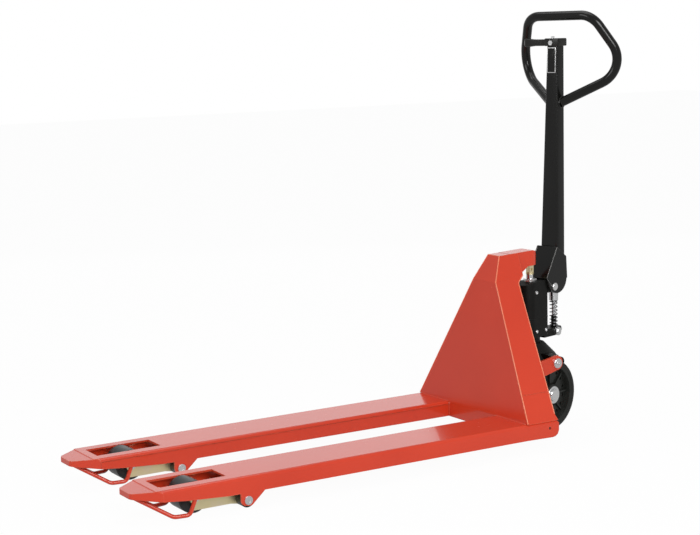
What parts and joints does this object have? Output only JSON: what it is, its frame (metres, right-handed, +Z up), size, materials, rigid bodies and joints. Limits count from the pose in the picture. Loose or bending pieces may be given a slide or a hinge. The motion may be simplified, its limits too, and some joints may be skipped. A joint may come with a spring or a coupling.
{
  "type": "pallet jack",
  "caption": "Hand pallet truck with long low forks on hidden load rollers, a tapered mast, a steered pump head on paired wheels and a loop handle that tilts to pump.",
  "frame": {"origin": "on the floor below the middle of the whole box", "axes": "+Z up; +X from the fork tips towards the operator, along the forks; +Y towards the operator's right-hand side"},
  "size_m": [1.6074, 0.5248, 1.1867],
  "materials": {
    "red_paint": "glossy orange-red paint",
    "black_paint": "black satin paint",
    "black_casting": "black painted casting",
    "zinc_plate": "yellow passivated zinc plate on steel",
    "bright_steel": "bright steel",
    "chromed_rod": "hard chromed and polished",
    "black_rubber": "black rubber",
    "hub_plastic": "black moulded nylon",
    "roller_plastic": "dark grey polyurethane",
    "lever_plastic": "black moulded plastic"
  },
  "bodies": {
    "chassis": {"fork_left": "red_paint", "fork_right": "red_paint", "mast_frame": "red_paint", "shaft_brackets": "red_paint", "skid_rods": "red_paint", "fork_pins": "bright_steel", "pin_spacers": "hub_plastic", "lift_ram": "chromed_rod", "ram_head": "zinc_plate"},
    "rocker": {"torsion_shaft": "red_paint", "rocker_arms": "red_paint", "rod_levers": "red_paint", "rocker_bolts": "bright_steel", "rod_pins": "bright_steel"},
    "rod_left": {"push_rod_left": "zinc_plate"},
    "rod_right": {"push_rod_right": "zinc_plate"},
    "swing_left": {"swing_frame_left": "zinc_plate", "roller_axle_left": "bright_steel"},
    "swing_right": {"swing_frame_right": "zinc_plate", "roller_axle_right": "bright_steel"},
    "roller_left": {"load_roller_left": "roller_plastic"},
    "roller_right": {"load_roller_right": "roller_plastic"},
    "exit_left": {"exit_roller_left": "hub_plastic"},
    "exit_right": {"exit_roller_right": "hub_plastic"},
    "lift_base": {"bearing_housing": "black_casting", "thrust_ring": "bright_steel"},
    "steer_head": {"pump_body": "black_casting", "wheel_carrier": "black_casting", "gland_nut": "bright_steel", "wheel_axle": "bright_steel", "axle_nuts": "bright_steel", "valve_plugs": "bright_steel", "plunger_spring": "bright_steel"},
    "valve_arm": {"release_valve": "black_paint"},
    "wheel_left": {"tyre_left": "black_rubber", "wheel_hub_left": "hub_plastic"},
    "wheel_right": {"tyre_right": "black_rubber", "wheel_hub_right": "hub_plastic"},
    "plunger": {"pump_plunger": "chromed_rod", "spring_seat": "bright_steel"},
    "handle": {"handle_yoke": "black_paint", "yoke_pin": "bright_steel", "pump_cam": "black_casting", "handle_stem": "black_paint", "handle_loop": "black_paint", "stem_plate": "bright_steel", "lever_bolt": "bright_steel"},
    "grip_lever": {"control_lever": "lever_plastic"},
    "pull_rod": {"release_rod": "bright_steel"}
  },
  "joints": [
    {"name": "lift", "type": "slide", "parent": "lift_base", "child": "chassis", "axis": [0, 0, 1], "range_m": [0, 0.115]},
    {"name": "rocker_turn", "type": "hinge", "parent": "chassis", "child": "rocker", "pos_m": [0.3913, 0, 0.115], "axis": [0, 1, 0], "range_deg": [0, 36.17]},
    {"name": "rod_left_push", "type": "slide", "parent": "chassis", "child": "rod_left", "axis": [-1, 0, 0], "range_m": [0, 0.03992]},
    {"name": "swing_left_turn", "type": "hinge", "parent": "chassis", "child": "swing_left", "pos_m": [-0.5107, -0.185, 0.02], "axis": [0, -1, 0], "range_deg": [0, 56.69]},
    {"name": "roller_left_spin", "type": "hinge", "parent": "swing_left", "child": "roller_left", "pos_m": [-0.6377, -0.185, 0.04], "axis": [0, 1, 0], "continuous": true},
    {"name": "exit_left_spin", "type": "hinge", "parent": "chassis", "child": "exit_left", "pos_m": [-0.5107, -0.185, 0.02], "axis": [0, 1, 0], "continuous": true},
    {"name": "rod_right_push", "type": "slide", "parent": "chassis", "child": "rod_right", "axis": [-1, 0, 0], "range_m": [0, 0.03992]},
    {"name": "swing_right_turn", "type": "hinge", "parent": "chassis", "child": "swing_right", "pos_m": [-0.5107, 0.185, 0.02], "axis": [0, -1, 0], "range_deg": [0, 56.69]},
    {"name": "roller_right_spin", "type": "hinge", "parent": "swing_right", "child": "roller_right", "pos_m": [-0.6377, 0.185, 0.04], "axis": [0, 1, 0], "continuous": true},
    {"name": "exit_right_spin", "type": "hinge", "parent": "chassis", "child": "exit_right", "pos_m": [-0.5107, 0.185, 0.02], "axis": [0, 1, 0], "continuous": true},
    {"name": "steer", "type": "hinge", "parent": "lift_base", "child": "steer_head", "pos_m": [0.5583, 0, 0.23], "axis": [0, 0, 1], "range_deg": [-114, 86]},
    {"name": "wheel_left_spin", "type": "hinge", "parent": "steer_head", "child": "wheel_left", "pos_m": [0.57233, -0.05628, 0.1], "axis": [-0.2419, 0.9703, 0], "continuous": true},
    {"name": "wheel_right_spin", "type": "hinge", "parent": "steer_head", "child": "wheel_right", "pos_m": [0.54427, 0.05628, 0.1], "axis": [-0.2419, 0.9703, 0], "continuous": true},
    {"name": "handle_tilt", "type": "hinge", "parent": "steer_head", "child": "handle", "pos_m": [0.62331, 0.01621, 0.401], "axis": [-0.2419, 0.9703, 0], "range_deg": [0, 70], "stiffness_Nm_per_rad": 26, "springref_deg": -25.78},
    {"name": "plunger_slide", "type": "slide", "parent": "steer_head", "child": "plunger", "axis": [0, 0, -1], "range_m": [0, 0.0392], "deforming": ["plunger_spring"]},
    {"name": "control_turn", "type": "hinge", "parent": "handle", "child": "grip_lever", "pos_m": [0.68056, 0.03048, 1.097], "axis": [0.9703, 0.2419, 0], "range_deg": [-10, 10]},
    {"name": "pull_rod_slide", "type": "slide", "parent": "handle", "child": "pull_rod", "axis": [0, 0, 1], "range_m": [-0.0018, 0.0018]},
    {"name": "valve_turn", "type": "hinge", "parent": "steer_head", "child": "valve_arm", "pos_m": [0.62988, 0.04361, 0.264], "axis": [-0.2419, 0.9703, 0], "range_deg": [-10, 10]}
  ],
  "couplings": [
    {"joint": "rocker_turn", "follows": "lift", "rad_per_m": 5.4741},
    {"joint": "rod_left_push", "follows": "lift", "ratio": 0.34623},
    {"joint": "swing_left_turn", "follows": "lift", "rad_per_m": 8.5884},
    {"joint": "rod_right_push", "follows": "lift", "ratio": 0.34623},
    {"joint": "swing_right_turn", "follows": "lift", "rad_per_m": 8.5884},
    {"joint": "plunger_slide", "follows": "handle_tilt", "m_per_rad": 0.032},
    {"joint": "pull_rod_slide", "follows": "control_turn", "m_per_rad": 0.01},
    {"joint": "valve_turn", "follows": "control_turn", "ratio": 0.99}
  ]
}
